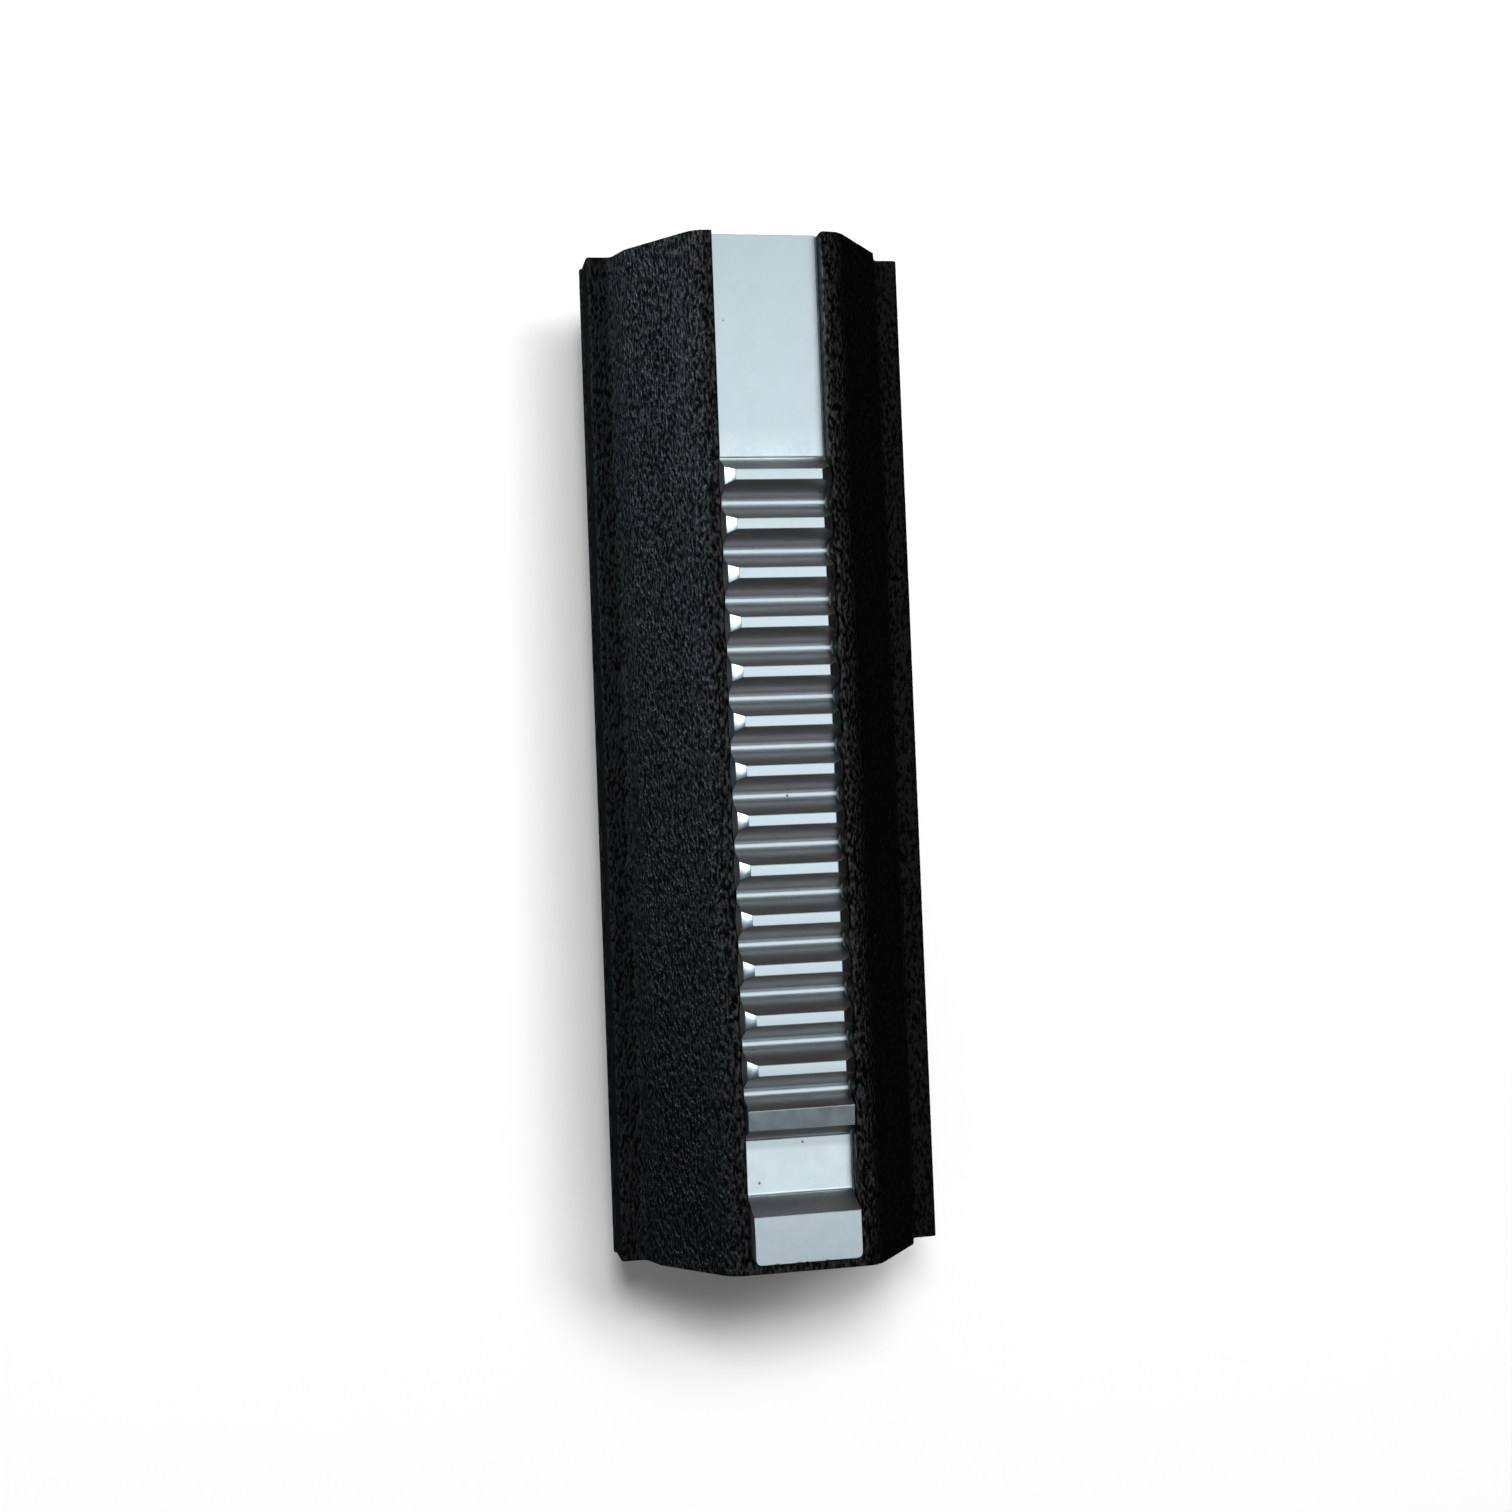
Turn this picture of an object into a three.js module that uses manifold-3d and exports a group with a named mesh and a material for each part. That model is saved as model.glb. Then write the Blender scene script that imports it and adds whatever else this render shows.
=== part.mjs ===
// Spring piston body with a steel tooth rack, for a small electric gearbox.
//
// Millimetres, +Z up. The piston lies along Y with its head end at +Y, its rack
// faces up, and the origin is the centre of its flat underside.
// Two pieces: a moulded nylon body, and a steel rack held in a T-slot along its top.

import * as THREE from 'three';
import { mergeVertices } from 'three/addons/utils/BufferGeometryUtils.js';
import Module from 'manifold-3d';

const wasm = await Module();
wasm.setup();

// ---- Driving dimensions -------------------------------------------------

// Tooth rack, cut to a module 1 pitch.
const pitch = Math.PI;
const toothDepth = 2.25; // root to tip
const flankAngle = THREE.MathUtils.degToRad(23);
const tipLand = 0.68;
const rootRadius = 0.33;
const regularTeeth = 13;
const blankLength = 14.65; // smooth plate at the head end, level with the roots
const lowToothDrop = 0.6; // how far the next tooth is cut below the others
const lowToothFall = 0.18; // its land falls this much towards the rear
const pickupLength = 3; // land of the wide last tooth
const pickupCornerRadius = 0.4;
const pickupTeethAfterLast = 3; // pitches from the last regular tooth to the pickup tooth
const rackWidth = 6.9;
const endBevel = 0.62; // 45 degree bevel on both ends of a regular tooth
const rackBaseThickness = 0.85; // steel under the roots
const footThickness = 0.6; // foot that the T-slot holds
const footOverhang = 0.75; // foot past the rack on each side

// Nylon body, from its walls.
const toothProud = 1.1; // tips above the body's flat top
const lipWidth = 1.2; // flat top on each side of the rack
const boreRadius = 6.8; // spring bore, open at the rear
const roofWall = 0.9; // between rack slot and bore
const floorWall = 3; // under the bore
const sideWall = 2.3; // beside the bore
const frontWall = 4;
const rearBridge = 0.65; // nylon behind the pickup tooth
const flankDrop = 7.9; // flat top to the rail's top face
const steepFlank = 2.2; // height of the steeper foot of each flank
const steepFlankRun = 0.6; // its width
const railHeight = 4.2;
const underRailWall = 0.6; // straight side between the rail and the lower flank
const railProjection = 1.6;
const railDraft = 0.1; // the rail's side leans in this much down to the parting line
const partingStep = 0.12; // and then steps out again
const partingDrop = 3.3; // parting line below the rail's top
const outerCornerRadius = 1.6; // four long corners of the flats
const railCornerRadius = 0.3;
const railRootRadius = 0.5;
const screwHoleRadius = 4; // for the piston head's neck
const headSeatInset = 0.4; // the head's round seat is this much smaller than the bore
const headSeatDepth = 0.8;
const boreLeadIn = 0.6; // chamfer at the mouth of the bore
const scallopDepth = 0.14; // hollow in the slot's wall beside each tooth
const scallopSteps = 6; // wall points for each pitch

// Fits.
const slotClearance = 0.12; // between rack and slot, all round

const arcSteps = 4;
const boreSegments = 64;
const overcut = 1; // how far a cutting solid runs past the face it opens

// ---- Worked out ---------------------------------------------------------

const flankRun = toothDepth * Math.tan( flankAngle );
const toothHalf = tipLand / 2 + flankRun; // at the root
const firstTooth = blankLength + toothHalf; // distances from the head end
const lastTooth = firstTooth + ( regularTeeth - 1 ) * pitch;
const lowTooth = lastTooth + pitch;
const pickupStart = lastTooth - tipLand / 2 + pickupTeethAfterLast * pitch;
const rackLength = pickupStart + pickupLength;
const bodyLength = rackLength + slotClearance + rearBridge;

const rackHalf = rackWidth / 2;
const footHalf = rackHalf + footOverhang;
const rackHeight = rackBaseThickness + toothDepth;
const slotDepth = rackHeight - toothProud + slotClearance;
const slotHalf = rackHalf + slotClearance;

const bodyHeight = floorWall + 2 * boreRadius + roofWall + slotDepth;
const boreAxis = floorWall + boreRadius;
const slotFloor = bodyHeight - slotDepth;
const rackBottom = slotFloor + slotClearance;
const tipLevel = rackBottom + rackHeight;
const flatHalf = slotHalf + lipWidth;
const flankHalf = boreRadius + sideWall;
const railHalf = flankHalf + railProjection;
const railTop = bodyHeight - flankDrop;
const railBottom = railTop - railHeight;
const headEnd = bodyLength / 2;
const rearEnd = - headEnd;

// ---- Helpers ------------------------------------------------------------

// A closed outline of [ across, up, corner radius ] points.
function outline( corners ) {

	const shape = new THREE.Shape();
	corners.forEach( ( [ across, up, radius ], i ) => {

		const corner = new THREE.Vector2( across, up );
		const before = new THREE.Vector2( ...corners.at( i - 1 ) ).sub( corner ).normalize();
		const after = new THREE.Vector2( ...corners[ ( i + 1 ) % corners.length ] ).sub( corner ).normalize();
		const reach = radius / Math.tan( Math.acos( before.dot( after ) ) / 2 );
		const start = before.multiplyScalar( reach ).add( corner );
		const end = after.multiplyScalar( reach ).add( corner );
		if ( i === 0 ) shape.moveTo( start.x, start.y );
		else shape.lineTo( start.x, start.y );
		if ( radius > 0 ) shape.quadraticCurveTo( across, up, end.x, end.y );

	} );
	return shape;

}

// The right half of an outline, from bottom to top, with its mirror image.
function mirrored( rightSide ) {

	const leftSide = rightSide.map( ( [ across, up, radius ] ) => [ - across, up, radius ] );
	return outline( [ ...rightSide, ...leftSide.reverse() ] );

}

function extruded( shape, depth ) {

	return new THREE.ExtrudeGeometry( shape, { depth, bevelEnabled: false, curveSegments: arcSteps } );

}

// An outline in X and Z, run along Y.
function alongY( shape, from, to ) {

	return extruded( shape, to - from ).rotateX( Math.PI / 2 ).translate( 0, to, 0 );

}

// An outline in X and Y, run along Z.
function alongZ( shape, from, to ) {

	return extruded( shape, to - from ).translate( 0, 0, from );

}

// An outline in Y and Z, run along X, the same on both sides of the middle.
function alongX( shape, half ) {

	return extruded( shape, 2 * half ).rotateY( Math.PI / 2 ).rotateX( Math.PI / 2 ).translate( - half, 0, 0 );

}

// A round bar along Y on the bore's axis.
function round( rearRadius, frontRadius, from, to ) {

	const bar = new THREE.CylinderGeometry( frontRadius, rearRadius, to - from, boreSegments );
	return bar.translate( 0, ( from + to ) / 2, boreAxis );

}

function solid( geometry ) {

	geometry.deleteAttribute( 'normal' );
	geometry.deleteAttribute( 'uv' );
	const merged = mergeVertices( geometry, 1e-5 );
	const vertProperties = new Float32Array( merged.attributes.position.array );
	const triVerts = new Uint32Array( merged.index.array );
	return new wasm.Manifold( new wasm.Mesh( { numProp: 3, vertProperties, triVerts } ) );

}

function mesh( name, shape, material ) {

	const cut = shape.getMesh();
	const geometry = new THREE.BufferGeometry();
	geometry.setAttribute( 'position', new THREE.BufferAttribute( cut.vertProperties, 3 ) );
	geometry.setIndex( new THREE.BufferAttribute( cut.triVerts, 1 ) );
	const faceted = geometry.toNonIndexed();
	faceted.computeVertexNormals();
	const piece = new THREE.Mesh( faceted, material );
	piece.name = name;
	return piece;

}

// ---- Nylon body ---------------------------------------------------------

// Flat top and underside, sloping flanks, and a guide rail low on each side.
function bodyBlank() {

	const lowFlankEnd = railBottom - underRailWall;
	const parting = railTop - partingDrop;
	const kneeHalf = flankHalf - steepFlankRun;
	const stepHalf = railHalf - railDraft + partingStep;
	const section = mirrored( [
		[ flatHalf, 0, outerCornerRadius ],
		[ kneeHalf, lowFlankEnd - steepFlank, 0 ],
		[ flankHalf, lowFlankEnd, 0 ],
		[ flankHalf, railBottom, 0 ],
		[ stepHalf, railBottom, railCornerRadius ],
		[ stepHalf, parting, 0 ],
		[ railHalf - railDraft, parting, 0 ],
		[ railHalf, railTop, railCornerRadius ],
		[ flankHalf, railTop, railRootRadius ],
		[ kneeHalf, railTop + steepFlank, 0 ],
		[ flatHalf, bodyHeight, outerCornerRadius ],
	] );
	return solid( alongY( section, rearEnd, headEnd ) );

}

// The slot's mouth: open at the head end, with a shallow scallop beside each tooth.
function slotMouth() {

	const rightSide = [ [ slotHalf, headEnd - rackLength - slotClearance, pickupCornerRadius + slotClearance ] ];
	const steps = regularTeeth * scallopSteps;
	for ( let i = 0; i <= steps; i ++ ) {

		const turns = i / scallopSteps;
		const hollow = scallopDepth * ( 1 - Math.cos( 2 * Math.PI * turns ) ) / 2;
		const fromHeadEnd = lastTooth + pitch / 2 - turns * pitch;
		rightSide.push( [ slotHalf + hollow, headEnd - fromHeadEnd, 0 ] );

	}

	rightSide.push( [ slotHalf, headEnd + overcut, 0 ] );
	return solid( alongZ( mirrored( rightSide ), slotFloor, bodyHeight + overcut ) );

}

// The wider groove under the slot's mouth, which holds the rack's foot.
function footGroove() {

	const half = footHalf + slotClearance;
	const rear = headEnd - rackLength - slotClearance;
	const plan = mirrored( [ [ half, rear, 0 ], [ half, headEnd + overcut, 0 ] ] );
	return solid( alongZ( plan, slotFloor, rackBottom + footThickness + slotClearance ) );

}

function pistonBody() {

	const boreEnd = headEnd - frontWall;
	const leadIn = round( boreRadius + boreLeadIn, boreRadius, rearEnd, rearEnd + boreLeadIn );
	const bore = round( boreRadius, boreRadius, rearEnd - overcut, boreEnd );
	const screwHole = round( screwHoleRadius, screwHoleRadius, boreEnd - overcut, headEnd + overcut );
	const seatRadius = boreRadius - headSeatInset;
	const headSeat = round( seatRadius, seatRadius, headEnd - headSeatDepth, headEnd + overcut );
	const roundCuts = [ bore, leadIn, screwHole, headSeat ].map( solid );
	const cuts = [ slotMouth(), footGroove(), ...roundCuts ];
	return cuts.reduce( ( body, cut ) => body.subtract( cut ), bodyBlank() );

}

// ---- Steel rack ---------------------------------------------------------

// The rack seen from the side, as [ distance from the head end, height, radius ] points.
function rackProfile() {

	const root = rackBaseThickness;
	const tip = rackHeight;
	const slope = Math.tan( flankAngle );
	const points = [ [ 0, 0, 0 ], [ 0, root, 0 ] ];
	for ( let i = 0; i < regularTeeth; i ++ ) {

		const centre = firstTooth + i * pitch;
		points.push( [ centre - toothHalf, root, rootRadius ], [ centre - tipLand / 2, tip, 0 ] );
		points.push( [ centre + tipLand / 2, tip, 0 ], [ centre + toothHalf, root, rootRadius ] );

	}

	const frontDrop = lowToothDrop;
	const rearDrop = lowToothDrop + lowToothFall;
	points.push( [ lowTooth - toothHalf, root, rootRadius ] );
	points.push( [ lowTooth - tipLand / 2 - frontDrop * slope, tip - frontDrop, 0 ] );
	points.push( [ lowTooth + tipLand / 2 + rearDrop * slope, tip - rearDrop, 0 ] );
	points.push( [ lowTooth + toothHalf, root, rootRadius ] );
	points.push( [ pickupStart - flankRun, root, rootRadius ], [ pickupStart, tip, 0 ] );
	points.push( [ rackLength, tip, 0 ], [ rackLength, 0, 0 ] );
	const place = ( [ distance, height, radius ] ) => [ headEnd - distance, rackBottom + height, radius ];
	return outline( points.map( place ) );

}

// A cutter that takes the 45 degree bevel off one end of every regular tooth.
function endBevelCutter( side ) {

	const inner = rackHalf - endBevel - overcut;
	const outer = rackHalf + overcut;
	const wedge = outline( [
		[ side * inner, tipLevel + overcut, 0 ],
		[ side * outer, tipLevel + overcut, 0 ],
		[ side * outer, tipLevel - endBevel - overcut, 0 ],
	] );
	return solid( alongY( wedge, headEnd - lastTooth - toothHalf, headEnd - blankLength ) );

}

function toothRack() {

	const plan = mirrored( [ [ rackHalf, headEnd - rackLength, pickupCornerRadius ], [ rackHalf, headEnd, 0 ] ] );
	const planBlock = solid( alongZ( plan, rackBottom, tipLevel ) );
	const teeth = solid( alongX( rackProfile(), rackHalf + overcut ) ).intersect( planBlock );
	const footPlan = mirrored( [ [ footHalf, headEnd - rackLength, 0 ], [ footHalf, headEnd, 0 ] ] );
	const foot = solid( alongZ( footPlan, rackBottom, rackBottom + footThickness ) );
	return teeth.subtract( endBevelCutter( 1 ) ).subtract( endBevelCutter( - 1 ) ).add( foot );

}

// ---- Assembly -----------------------------------------------------------

const blackNylon = new THREE.MeshStandardMaterial( { color: 0x17191a, roughness: 0.6, metalness: 0 } );
const groundSteel = new THREE.MeshStandardMaterial( { color: 0xb4bcc0, roughness: 0.35, metalness: 1 } );

const piston = new THREE.Group();
piston.add( mesh( 'piston_body', pistonBody(), blackNylon ) );
piston.add( mesh( 'tooth_rack', toothRack(), groundSteel ) );

export default piston;
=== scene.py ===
# A moulded nylon spring piston with a steel tooth rack along its top.
# It rests on its flat underside, with its head end at +Y and the rack facing up.
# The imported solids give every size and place, and all lengths are in metres.

import math

import bpy
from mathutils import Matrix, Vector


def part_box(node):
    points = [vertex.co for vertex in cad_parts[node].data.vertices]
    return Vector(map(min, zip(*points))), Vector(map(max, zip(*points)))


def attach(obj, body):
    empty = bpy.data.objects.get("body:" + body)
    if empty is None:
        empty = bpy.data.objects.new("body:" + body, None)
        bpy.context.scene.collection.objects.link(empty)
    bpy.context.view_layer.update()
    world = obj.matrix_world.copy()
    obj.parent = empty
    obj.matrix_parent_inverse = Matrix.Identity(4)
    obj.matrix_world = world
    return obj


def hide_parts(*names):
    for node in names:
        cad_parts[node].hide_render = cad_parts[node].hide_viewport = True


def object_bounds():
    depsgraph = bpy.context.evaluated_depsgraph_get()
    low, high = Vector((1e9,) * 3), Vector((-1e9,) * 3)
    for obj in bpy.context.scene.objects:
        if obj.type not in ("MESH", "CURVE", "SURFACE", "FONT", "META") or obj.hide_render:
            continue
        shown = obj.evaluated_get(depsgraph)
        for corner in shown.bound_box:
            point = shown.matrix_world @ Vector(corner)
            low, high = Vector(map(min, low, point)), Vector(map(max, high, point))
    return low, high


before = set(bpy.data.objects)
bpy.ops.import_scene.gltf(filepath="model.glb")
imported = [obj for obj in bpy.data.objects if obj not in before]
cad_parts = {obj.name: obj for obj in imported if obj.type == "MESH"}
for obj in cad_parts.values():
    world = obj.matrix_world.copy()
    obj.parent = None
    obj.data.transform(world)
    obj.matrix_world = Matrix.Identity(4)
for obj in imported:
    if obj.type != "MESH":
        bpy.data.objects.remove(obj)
cad_low, cad_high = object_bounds()
bpy.ops.object.select_all(action="DESELECT")

# ---- Camera --------------------------------------------------------------
# It looks down on the rack from well above, and a little from the left, through a
# lens long enough to keep the piston's sides nearly parallel.

bpy.ops.object.camera_add(
    location=(-0.03063, -0.00351, 0.16523),
    rotation=(math.radians(2.88), math.radians(-12.48), math.radians(-2.32)),
)
camera = bpy.context.object
camera.name = "camera"
camera.data.lens = 55.5
camera.data.shift_x = -0.038
camera.data.shift_y = -0.035
camera.data.clip_start = 0.01
bpy.context.scene.camera = camera

# ---- Floor and studio light ----------------------------------------------
# A white paper floor, a broad softbox overhead, a strong low one on the left and
# weak ones around the rest, so the right side of the nylon stays deep black.

floor_size = 3.0

bpy.ops.mesh.primitive_plane_add(size=floor_size, location=(0, 0, cad_low.z))
floor = bpy.context.object
floor.name = "floor"
floor.visible_glossy = False

white_paper = bpy.data.materials.new("white_paper")
white_paper.use_nodes = True
paper = white_paper.node_tree.nodes["Principled BSDF"]
paper.inputs["Base Color"].default_value = (0.93, 0.93, 0.93, 1)
paper.inputs["Roughness"].default_value = 0.9
paper.inputs["Specular IOR Level"].default_value = 0.1
floor.data.materials.append(white_paper)


def softbox(name, place, aim, width, height, watts):
    """A rectangular area light at place, turned to shine on aim."""
    bpy.ops.object.light_add(type="AREA", location=place)
    light = bpy.context.object
    light.name = name
    light.data.shape = "RECTANGLE"
    light.data.size = width
    light.data.size_y = height
    light.data.energy = watts
    reach = [a - p for a, p in zip(aim, place)]
    distance = math.hypot(*reach)
    light.rotation_euler = (
        math.acos(-reach[2] / distance),
        0,
        math.atan2(reach[1], reach[0]) - math.pi / 2,
    )
    light.visible_camera = False
    return light


# These show in the gloss of the steel and the nylon, and don't light the floor.
overhead = softbox("overhead_softbox", (-0.03, 0.04, 0.60), (-0.03, 0.04, 0), 0.40, 0.86, 1.50)
left = softbox("left_softbox", (-0.50, 0.24, 0.12), (0, 0, 0.01), 0.44, 0.20, 3.1)
left.data.color = (0.80, 0.94, 1.0)
right = softbox("right_softbox", (0.45, -0.05, 0.50), (0, 0, 0.01), 0.30, 0.40, 0.10)
back = softbox("back_softbox", (0.20, 0.55, 0.16), (0, 0, 0.01), 0.50, 0.25, 0.9)
front = softbox("front_softbox", (0.25, -0.55, 0.20), (0, 0, 0.01), 0.50, 0.25, 0.5)
for light in (overhead, left, right, back, front):
    light.visible_diffuse = False

# These two throw the shadows on the floor, and don't show in the gloss.
near_key = softbox("near_key_softbox", (-0.08, 0.20, 0.55), (0, 0, 0), 0.10, 0.14, 1.75)
far_key = softbox("far_key_softbox", (0.11, 0.20, 0.55), (0, 0, 0), 0.28, 0.14, 1.95)
for light in (near_key, far_key):
    light.visible_glossy = False

# The room around is pale to the floor and nearly black in the gloss.
studio = bpy.data.worlds.new("studio")
bpy.context.scene.world = studio
studio.use_nodes = True
nodes = studio.node_tree.nodes
links = studio.node_tree.links
room = nodes["Background"]
room.inputs["Color"].default_value = (1, 1, 1, 1)
room.inputs["Strength"].default_value = 0.2
room_in_gloss = nodes.new("ShaderNodeBackground")
room_in_gloss.inputs["Color"].default_value = (0.9, 0.95, 1, 1)
room_in_gloss.inputs["Strength"].default_value = 0.004
either_room = nodes.new("ShaderNodeMixShader")
ray_kind = nodes.new("ShaderNodeLightPath")
links.new(ray_kind.outputs["Is Glossy Ray"], either_room.inputs["Fac"])
links.new(room.outputs["Background"], either_room.inputs[1])
links.new(room_in_gloss.outputs["Background"], either_room.inputs[2])
links.new(either_room.outputs["Shader"], nodes["World Output"].inputs["Surface"])
bpy.context.scene.view_settings.view_transform = "Standard"

# ---- Moulded nylon body --------------------------------------------------
# One glass-filled nylon moulding: flat top and underside, sloping flanks, a
# guide rail on each side, and the spring bore inside. Its mould gave it a
# leathery grain, and its edges are slightly rounded.

nylon_edge = 0.00005
slot_edge = 0.00014
sharp_edge = math.radians(30)
same_plane = math.radians(0.5)
merge_gap = 0.000002


def merged_copy(node_name, piece_name):
    """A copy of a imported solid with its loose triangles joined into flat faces."""
    piece = bpy.data.objects.new(piece_name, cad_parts[node_name].data.copy())
    bpy.context.scene.collection.objects.link(piece)
    bpy.ops.object.select_all(action="DESELECT")
    piece.select_set(True)
    bpy.context.view_layer.objects.active = piece
    bpy.ops.object.mode_set(mode="EDIT")
    bpy.ops.mesh.select_all(action="SELECT")
    bpy.ops.mesh.remove_doubles(threshold=merge_gap)
    bpy.ops.mesh.dissolve_limited(angle_limit=same_plane)
    bpy.ops.object.mode_set(mode="OBJECT")
    piece.data.materials.clear()
    return piece


def round_edges(piece, width, segments):
    """Rounds every sharp edge of a piece with a narrow bevel."""
    bevel = piece.modifiers.new("rounded_edges", "BEVEL")
    bevel.width = width
    bevel.segments = segments
    bevel.limit_method = "ANGLE"
    bevel.angle_limit = sharp_edge
    bevel.use_clamp_overlap = False
    bpy.ops.object.modifier_apply(modifier=bevel.name)


def smooth(piece):
    """Shades a piece smooth across its rounded edges and flat on its flats."""
    bpy.ops.object.select_all(action="DESELECT")
    piece.select_set(True)
    bpy.context.view_layer.objects.active = piece
    bpy.ops.object.shade_smooth_by_angle(angle=sharp_edge)
    weighted = piece.modifiers.new("weighted_normals", "WEIGHTED_NORMAL")
    weighted.keep_sharp = True
    bpy.ops.object.modifier_apply(modifier=weighted.name)


def add_ball(place, radii):
    """A smooth ball squashed to three radii, made to cut or join another piece."""
    bpy.ops.object.select_all(action="DESELECT")
    bpy.ops.mesh.primitive_uv_sphere_add(segments=48, ring_count=24, radius=1, location=place)
    bpy.context.object.scale = radii
    bpy.ops.object.transform_apply(location=True, rotation=True, scale=True)
    return bpy.context.object


def combine(piece, tool, operation):
    """Cuts or joins piece with tool, which is used up, and leaves piece without material."""
    boolean = piece.modifiers.new("combine", "BOOLEAN")
    boolean.operation = operation
    boolean.solver = "MANIFOLD"
    boolean.object = tool
    bpy.ops.object.select_all(action="DESELECT")
    bpy.context.view_layer.objects.active = piece
    bpy.ops.object.modifier_apply(modifier=boolean.name)
    bpy.data.objects.remove(tool)
    piece.data.materials.clear()
    piece.data.polygons.foreach_set("material_index", [0] * len(piece.data.polygons))


moulded_body = merged_copy("piston_body", "moulded_body")
rack_low, rack_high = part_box("tooth_rack")
top_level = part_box("piston_body")[1].z

# The slot's top edges are rounded more than the rest. They run along the piston,
# about wall_side out from its middle.
wall_side = 0.00357
near_wall = 0.0003
hair = 0.00001
bpy.ops.object.select_all(action="DESELECT")
bpy.context.view_layer.objects.active = moulded_body
bpy.ops.object.mode_set(mode="EDIT")
bpy.ops.mesh.select_mode(type="EDGE")
bpy.ops.mesh.select_all(action="DESELECT")
bpy.ops.object.mode_set(mode="OBJECT")
shell = moulded_body.data
for edge in shell.edges:
    ends = [shell.vertices[i].co for i in edge.vertices]
    on_top = all(abs(end.z - top_level) < hair for end in ends)
    beside_slot = all(abs(abs(end.x) - wall_side) < near_wall for end in ends)
    runs_along = abs(ends[0].y - ends[1].y) > abs(ends[0].x - ends[1].x)
    edge.select = on_top and beside_slot and runs_along
bpy.ops.object.mode_set(mode="EDIT")
bpy.ops.mesh.bevel(offset=slot_edge, segments=4, affect="EDGES")
bpy.ops.object.mode_set(mode="OBJECT")

round_edges(moulded_body, nylon_edge, 3)

# The slot's right wall is softened beside the gap in the teeth: it swells a little
# towards the rack, its edge is dished, and a small chip is missing above it.
last_tooth = 0.003
gap_length = 0.0038
gap_rear = rack_low.y + last_tooth
gap_front = gap_rear + gap_length
gap_middle = gap_rear + gap_length / 2


def by_gap(outward, forward, upward):
    """A point measured from the wall's top edge, beside the middle of the gap."""
    return (wall_side + outward, gap_middle + forward, top_level + upward)


swelling = add_ball(by_gap(0.00034, 0.0003, -0.00042), radii=(0.00043, 0.0019, 0.0005))
combine(moulded_body, swelling, "UNION")
dish = add_ball(by_gap(0.00085, -0.0001, 0.0007), radii=(0.0008, 0.0026, 0.00094))
combine(moulded_body, dish, "DIFFERENCE")
chip = add_ball(by_gap(0.00102, 0.0019, 0.00002), radii=(0.0002, 0.0006, 0.00013))
combine(moulded_body, chip, "DIFFERENCE")

# A ragged burr of nylon stands along the slot's rear edge, behind the last tooth.
# Its outline is three waves added up: how fast each one turns along the edge, in
# radians a millimetre, how strong it is, and where it starts.
burr_length = 0.006
burr_height = 0.00022
burr_thickness = 0.00007
burr_steps = 64
behind_rack = 0.0003
waves = ((5.1, 1.0, 0), (11.3, 0.8, 1), (23.7, 0.6, 2))
ragged_rise = 0.28
ragged_lean = 0.16
bpy.ops.object.select_all(action="DESELECT")
bpy.ops.mesh.primitive_grid_add(x_subdivisions=burr_steps, y_subdivisions=3, size=1)
burr = bpy.context.object
burr.scale = (burr_length, burr_height, 1)
burr.rotation_euler = (math.radians(90), 0, 0)
burr.location = (0, rack_low.y - behind_rack, top_level)
bpy.ops.object.transform_apply(location=True, rotation=True, scale=True)
for vertex in burr.data.vertices:
    millimetres = vertex.co.x * 1000
    ragged = sum(strength * math.sin(pace * millimetres + start) for pace, strength, start in waves)
    if vertex.co.z > top_level:
        vertex.co.z += burr_height * ragged_rise * ragged
        vertex.co.y += burr_height * ragged_lean * ragged
burr_wall = burr.modifiers.new("wall", "SOLIDIFY")
burr_wall.thickness = burr_thickness
bpy.ops.object.modifier_apply(modifier=burr_wall.name)
combine(moulded_body, burr, "UNION")

smooth(moulded_body)


def feed(tree, socket, value):
    """Links another node's output to a socket, or sets the socket to a plain value."""
    if isinstance(value, bpy.types.NodeSocket):
        tree.links.new(value, socket)
    else:
        socket.default_value = value


def spread(tree, source, low, high, least=0.0, most=1.0):
    """Stretches the part of a value between low and high to least..most."""
    span = tree.nodes.new("ShaderNodeMapRange")
    span.inputs["From Min"].default_value = low
    span.inputs["From Max"].default_value = high
    span.inputs["To Min"].default_value = least
    span.inputs["To Max"].default_value = most
    feed(tree, span.inputs["Value"], source)
    return span.outputs["Result"]


def compute(tree, operation, first, second=0.0):
    """The result of one Math node on two values."""
    step = tree.nodes.new("ShaderNodeMath")
    step.operation = operation
    feed(tree, step.inputs[0], first)
    feed(tree, step.inputs[1], second)
    return step.outputs["Value"]


def blend(tree, kind, factor, first, second):
    """Goes from first to second as factor goes from 0 to 1. The kind is FLOAT or RGBA."""
    mix = tree.nodes.new("ShaderNodeMix")
    mix.data_type = kind
    feed(tree, mix.inputs["Factor"], factor)
    feed(tree, mix.inputs["A"], first)
    feed(tree, mix.inputs["B"], second)
    return mix.outputs["Result"]


def split(tree, vector):
    """The X, Y and Z of a vector."""
    parts = tree.nodes.new("ShaderNodeSeparateXYZ")
    feed(tree, parts.inputs["Vector"], vector)
    return parts.outputs["X"], parts.outputs["Y"], parts.outputs["Z"]


def noise(tree, place, scale, detail, roughness=0.5, distortion=0.0):
    """A plain noise texture's strength."""
    texture = tree.nodes.new("ShaderNodeTexNoise")
    texture.inputs["Scale"].default_value = scale
    texture.inputs["Detail"].default_value = detail
    texture.inputs["Roughness"].default_value = roughness
    texture.inputs["Distortion"].default_value = distortion
    feed(tree, texture.inputs["Vector"], place)
    return texture.outputs["Fac"]


def bumps(tree, height, strength, distance):
    """The normal of a surface raised by height."""
    bump = tree.nodes.new("ShaderNodeBump")
    bump.inputs["Strength"].default_value = strength
    bump.inputs["Distance"].default_value = distance
    feed(tree, bump.inputs["Height"], height)
    return bump.outputs["Normal"]


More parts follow.
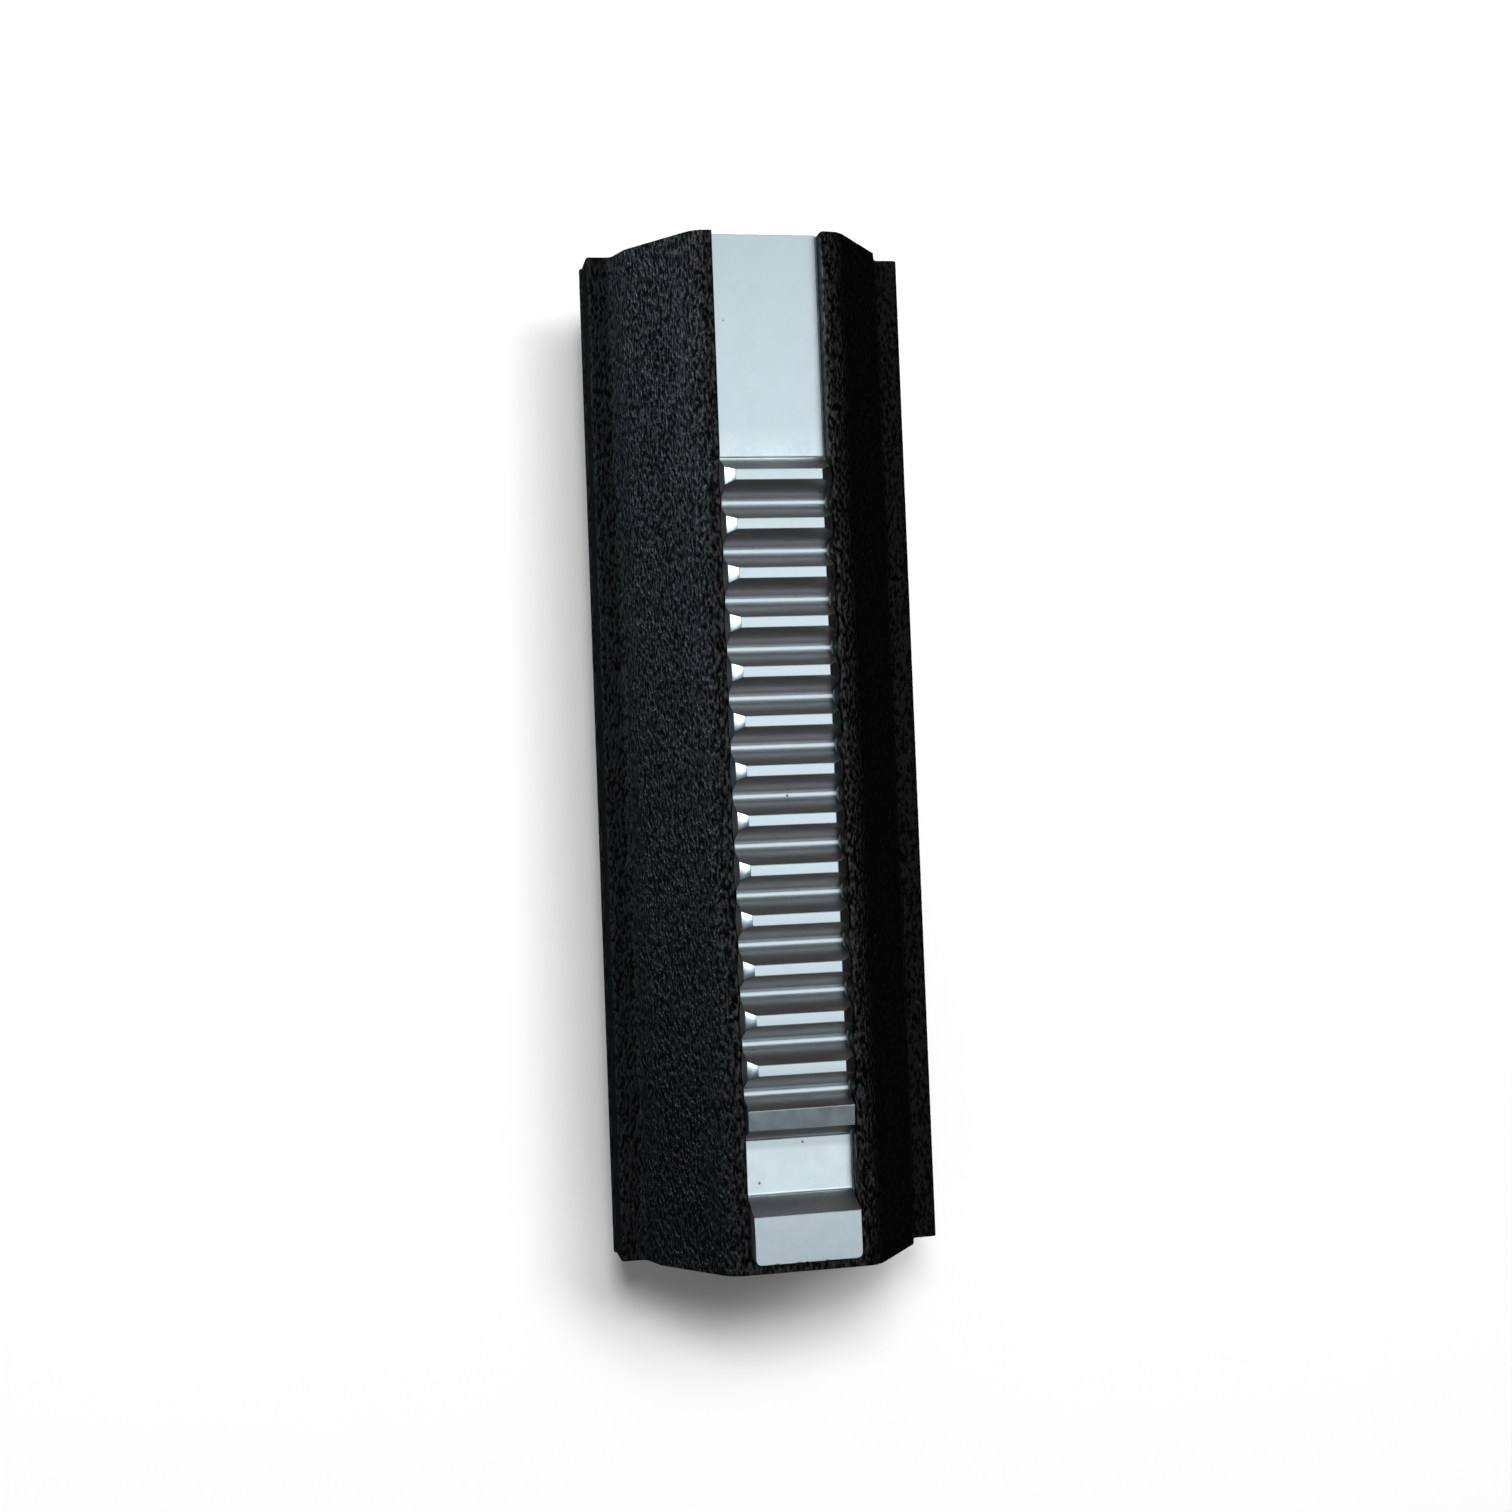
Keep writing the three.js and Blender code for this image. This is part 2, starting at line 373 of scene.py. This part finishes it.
def new_finish(name):
    """A new material with its node tree, its shader and its Object coordinates."""
    finish = bpy.data.materials.new(name)
    finish.use_nodes = True
    tree = finish.node_tree
    place = tree.nodes.new("ShaderNodeTexCoord").outputs["Object"]
    return finish, tree, tree.nodes["Principled BSDF"], place


# A shared group. Blotches are slow, uneven change over a surface, and specks are
# small isolated spots, a few to each square centimetre.
uneven_surface = bpy.data.node_groups.new("uneven_surface", "ShaderNodeTree")
for label, kind in (
    ("Vector", "NodeSocketVector"),
    ("Blotch Scale", "NodeSocketFloat"),
    ("Speck Scale", "NodeSocketFloat"),
    ("Speck Size", "NodeSocketFloat"),
):
    uneven_surface.interface.new_socket(label, in_out="INPUT", socket_type=kind)
for label in ("Blotches", "Specks"):
    uneven_surface.interface.new_socket(label, in_out="OUTPUT", socket_type="NodeSocketFloat")
group_in = uneven_surface.nodes.new("NodeGroupInput")
group_out = uneven_surface.nodes.new("NodeGroupOutput")

blotches = uneven_surface.nodes.new("ShaderNodeTexNoise")
blotches.inputs["Detail"].default_value = 4
blotches.inputs["Roughness"].default_value = 0.62
feed(uneven_surface, blotches.inputs["Vector"], group_in.outputs["Vector"])
feed(uneven_surface, blotches.inputs["Scale"], group_in.outputs["Blotch Scale"])
blotch_mask = spread(uneven_surface, blotches.outputs["Fac"], low=0.32, high=0.68)
feed(uneven_surface, group_out.inputs["Blotches"], blotch_mask)

specks = uneven_surface.nodes.new("ShaderNodeTexVoronoi")
feed(uneven_surface, specks.inputs["Vector"], group_in.outputs["Vector"])
feed(uneven_surface, specks.inputs["Scale"], group_in.outputs["Speck Scale"])
chance = uneven_surface.nodes.new("ShaderNodeSeparateColor")
feed(uneven_surface, chance.inputs["Color"], specks.outputs["Color"])
speck_share = 0.3
rare = compute(uneven_surface, "LESS_THAN", chance.outputs["Red"], speck_share)
small = compute(uneven_surface, "LESS_THAN", specks.outputs["Distance"], group_in.outputs["Speck Size"])
feed(uneven_surface, group_out.inputs["Specks"], compute(uneven_surface, "MULTIPLY", small, rare))


def place_uneven(tree, place, blotch_scale, speck_scale, speck_size):
    """The shared group in a material, with that material's own values."""
    uneven = tree.nodes.new("ShaderNodeGroup")
    uneven.node_tree = uneven_surface
    uneven.inputs["Blotch Scale"].default_value = blotch_scale
    uneven.inputs["Speck Scale"].default_value = speck_scale
    uneven.inputs["Speck Size"].default_value = speck_size
    feed(tree, uneven.inputs["Vector"], place)
    return uneven.outputs["Blotches"], uneven.outputs["Specks"]


black_nylon, tree, nylon, place = new_finish("black_nylon")
nylon.inputs["Specular IOR Level"].default_value = 0.42
across, _, height = split(tree, place)
from_middle = compute(tree, "ABSOLUTE", across)
_, nylon_specks = place_uneven(tree, place, blotch_scale=260, speck_scale=900, speck_size=0.10)


def stroke_grain(tree, place, turn):
    """Short strokes along the piston, turned by some degrees."""
    strokes = tree.nodes.new("ShaderNodeMapping")
    strokes.inputs["Scale"].default_value = (1, 0.42, 1)
    strokes.inputs["Rotation"].default_value = (0, 0, math.radians(turn))
    feed(tree, strokes.inputs["Vector"], place)
    return noise(tree, strokes.outputs["Vector"], scale=6000, detail=2, distortion=0.2)


# The grain's strokes lean a little on the flanks, and lie slantwise on the flat lips
# beside the rack. The slant fades in over the top of the flanks.
lip_starts = top_level - 0.0022
lip_full = top_level - 0.0002
flank_grain = stroke_grain(tree, place, turn=10)
lip_grain = stroke_grain(tree, place, turn=48)
on_lip = spread(tree, height, lip_starts, lip_full)
grain = blend(tree, "FLOAT", on_lip, flank_grain, lip_grain)

# Painted shade: the grain's pits are painted darker than its tops, as shade in the pits, with a few
# pale glass specks.
pit_black = (0.0003, 0.0004, 0.0005, 1)
top_black = (0.0022, 0.0027, 0.0030, 1)
speck_grey = (0.014, 0.015, 0.0145, 1)
grain_tops = spread(tree, grain, low=0.46, high=0.70)
grain_tone = blend(tree, "RGBA", grain_tops, pit_black, top_black)
nylon_tone = blend(tree, "RGBA", nylon_specks, grain_tone, speck_grey)
feed(tree, nylon.inputs["Base Color"], nylon_tone)

# The rails and everything below them are rougher than the flanks and the lips.
rail_level = top_level - 0.0079
rail_ends = rail_level + 0.0001
flank_starts = rail_level + 0.0006
rail_roughness = 0.6
above_rails = spread(tree, height, rail_ends, flank_starts)
grain_roughness = spread(tree, grain, low=0.4, high=0.66, least=0.6, most=0.3)
nylon_roughness = blend(tree, "FLOAT", above_rails, rail_roughness, grain_roughness)
feed(tree, nylon.inputs["Roughness"], nylon_roughness)

# Painted shade: the grain's pits, the slot's walls and, in part, the rails are darkened as if in shade.
# A black base with full Metallic has no gloss, so this mask takes the gloss away there.
wall_inside = wall_side + 0.00025
wall_outside = wall_side + 0.0004
slot_floor = rack_low.z
pit_shade = spread(tree, grain, low=0.60, high=0.42, most=0.9)
in_slot = spread(tree, from_middle, wall_outside, wall_inside)
below_edge = spread(tree, height, top_level - slot_edge, top_level - 2 * slot_edge)
above_floor = spread(tree, height, slot_floor - 0.0002, slot_floor)
slot_wall_shade = compute(tree, "MULTIPLY", compute(tree, "MULTIPLY", in_slot, below_edge), above_floor)
rail_shade = spread(tree, height, flank_starts, rail_ends, most=0.45)
painted_shade = compute(tree, "MAXIMUM", compute(tree, "MAXIMUM", pit_shade, slot_wall_shade), rail_shade)
feed(tree, nylon.inputs["Metallic"], painted_shade)

# The rack has rubbed the slot's edges smooth: the grain fades out there.
worn_level = 0.5
worn_ends = wall_side + 0.0005
away_from_slot = spread(tree, from_middle, wall_inside, worn_ends)
worn_grain = blend(tree, "FLOAT", away_from_slot, worn_level, grain)
nylon_normal = bumps(tree, worn_grain, strength=1.0, distance=0.00018)
feed(tree, nylon.inputs["Normal"], nylon_normal)
moulded_body.data.materials.append(black_nylon)

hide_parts("piston_body")
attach(moulded_body, "root")

# ---- Steel tooth rack ----------------------------------------------------
# A hardened steel rack, its foot slid into the T-slot of the body. The lands are
# painted bright, as painted light, and the flanks between them darker, as painted shade.

steel_edge = 0.00004

steel_rack = merged_copy("tooth_rack", "steel_rack")
round_edges(steel_rack, steel_edge, 2)

# The rear edge of the last tooth has a few small chips: where each is, and its width.
steel_chips = ((-0.0021, 0.00012), (-0.0007, 0.00022), (-0.0002, 0.0001), (0.0011, 0.00016))
chip_reach = 0.00009
chip_depth = 0.0001
for across, width in steel_chips:
    chip = add_ball((across, rack_low.y, rack_high.z), radii=(width, chip_reach, chip_depth))
    combine(steel_rack, chip, "DIFFERENCE")
smooth(steel_rack)

ground_steel, tree, steel, place = new_finish("ground_steel")
steel.inputs["Metallic"].default_value = 1
_, along, height = split(tree, place)
steel_blotches, steel_specks = place_uneven(
    tree, place, blotch_scale=900, speck_scale=700, speck_size=0.06
)

# Painted light and shade: faces that look up are painted a pale blue grey, as if lit from above, and
# the rest a darker, warmer grey, as painted shade.
lit_top_dark = (0.52, 0.63, 0.68, 1)
lit_top_pale = (0.60, 0.72, 0.77, 1)
flank_shade_grey = (0.41, 0.40, 0.41, 1)
surface = tree.nodes.new("ShaderNodeNewGeometry")
_, _, upward = split(tree, surface.outputs["Normal"])
level = spread(tree, upward, low=0.55, high=0.97)
lit_top_tone = blend(tree, "RGBA", steel_blotches, lit_top_dark, lit_top_pale)
lit_and_shaded_tone = blend(tree, "RGBA", level, flank_shade_grey, lit_top_tone)

# The gap's floor is painted paler, and so is a blotchy patch at the plate's rear end, on faces that
# look up.
plate_end = rack_high.y - 0.01465
tip_depth = 0.0005
floor_depth = 0.0015
pale_patch_colour = (0.74, 0.88, 0.92, 1)
in_gap = spread(tree, along, gap_front + 0.0003, gap_front - 0.0001)
below_tips = spread(tree, height, rack_high.z - tip_depth, rack_high.z - floor_depth)
pale_gap_floor = compute(tree, "MULTIPLY", in_gap, below_tips)
near_end = spread(tree, along, plate_end + 0.0022, plate_end + 0.0002)
on_plate = spread(tree, along, plate_end - 0.0002, plate_end)
blotchy_end = compute(tree, "MULTIPLY", near_end, steel_blotches)
end_patch = compute(tree, "MULTIPLY", blotchy_end, on_plate)
pale_patches = compute(tree, "MULTIPLY", compute(tree, "MAXIMUM", pale_gap_floor, end_patch), level)
patched_tone = blend(tree, "RGBA", pale_patches, lit_and_shaded_tone, pale_patch_colour)

# A few tiny pits are darker than the rest.
steel_pit = (0.2, 0.2, 0.21, 1)
steel_tone = blend(tree, "RGBA", steel_specks, patched_tone, steel_pit)
feed(tree, steel.inputs["Base Color"], steel_tone)

steel_roughness = spread(tree, steel_blotches, low=0, high=1, least=0.30, most=0.38)
feed(tree, steel.inputs["Roughness"], steel_roughness)
steel_grain = noise(tree, place, scale=9000, detail=2)
steel_normal = bumps(tree, steel_grain, strength=0.35, distance=0.00001)
feed(tree, steel.inputs["Normal"], steel_normal)
steel_rack.data.materials.append(ground_steel)

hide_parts("tooth_rack")
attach(steel_rack, "root")
